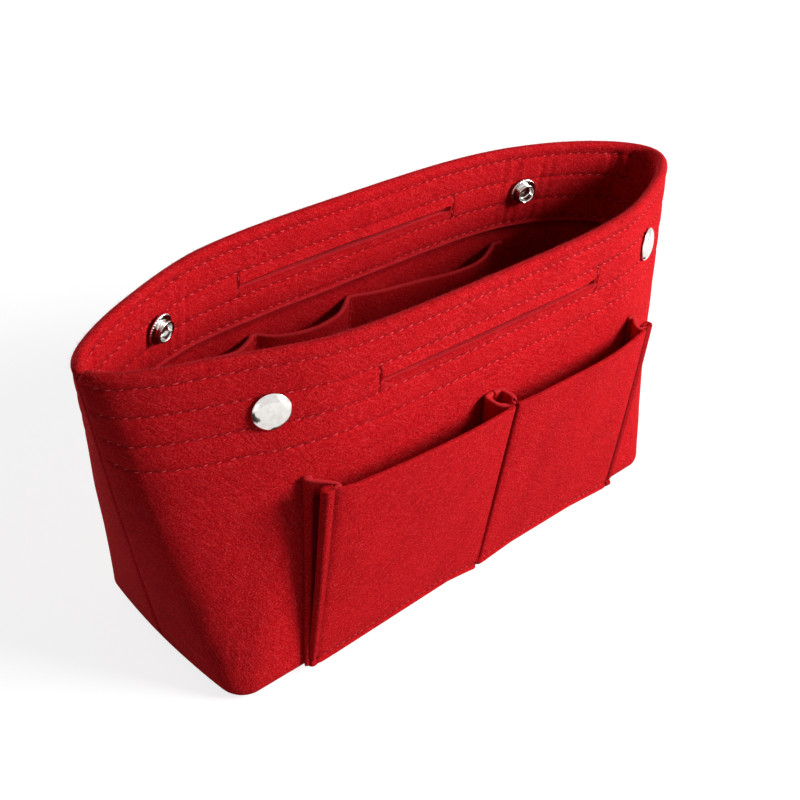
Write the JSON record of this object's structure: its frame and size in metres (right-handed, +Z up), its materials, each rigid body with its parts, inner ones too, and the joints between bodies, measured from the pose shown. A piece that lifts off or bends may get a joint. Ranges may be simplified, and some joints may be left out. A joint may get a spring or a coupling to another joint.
{
  "type": "purse organizer insert",
  "caption": "Felt organizer insert for a handbag: an open tub with hemmed rim, bellows pockets outside, a pocket strip inside, hand slits and snap fasteners.",
  "frame": {"origin": "centre of the flat bottom, on the surface that the organizer stands on", "axes": "+X along its length to the right as seen from the pocketed front, +Y towards the back wall, +Z up"},
  "size_m": [0.3148, 0.1069, 0.15],
  "materials": {
    "felt": "matt pressed felt with a short fibrous nap",
    "nickel": "polished nickel plate"
  },
  "bodies": {
    "base": {"base_panel": "felt", "left_front_side": "felt", "left_back_side": "felt", "right_front_side": "felt", "right_back_side": "felt", "left_front_side_hem": "felt", "left_back_side_hem": "felt", "right_front_side_hem": "felt", "right_back_side_hem": "felt"},
    "front_wall": {"front_wall": "felt", "front_hem": "felt", "left_snap_cap": "nickel", "right_snap_cap": "nickel", "left_snap_socket": "nickel", "right_snap_socket": "nickel", "left_pocket_outer_gusset": "felt", "left_pocket_inner_gusset": "felt", "right_pocket_outer_gusset": "felt", "right_pocket_inner_gusset": "felt"},
    "back_wall": {"back_wall": "felt", "back_hem": "felt", "inner_pocket_strip": "felt", "left_snap_stud": "nickel", "right_snap_stud": "nickel", "left_snap_post": "nickel", "right_snap_post": "nickel"},
    "left_pocket": {"left_pocket_panel": "felt"},
    "right_pocket": {"right_pocket_panel": "felt"}
  },
  "joints": [
    {"name": "front_wall_fold", "type": "hinge", "parent": "base", "child": "front_wall", "pos_m": [0, -0.0448, 0.008], "axis": [-1, 0, 0], "range_deg": [0, 10], "stiffness_Nm_per_rad": 0.8},
    {"name": "back_wall_fold", "type": "hinge", "parent": "base", "child": "back_wall", "pos_m": [0, 0.0448, 0.008], "axis": [1, 0, 0], "range_deg": [0, 10], "stiffness_Nm_per_rad": 0.8},
    {"name": "left_pocket_flatten", "type": "hinge", "parent": "front_wall", "child": "left_pocket", "pos_m": [0, -0.0488, 0.004], "axis": [-1, 0, 0], "range_deg": [0, 4.6], "stiffness_Nm_per_rad": 0.05, "deforming": ["left_pocket_outer_gusset", "left_pocket_inner_gusset"]},
    {"name": "right_pocket_flatten", "type": "hinge", "parent": "front_wall", "child": "right_pocket", "pos_m": [0, -0.0488, 0.004], "axis": [-1, 0, 0], "range_deg": [0, 4.6], "stiffness_Nm_per_rad": 0.05, "deforming": ["right_pocket_outer_gusset", "right_pocket_inner_gusset"]}
  ]
}
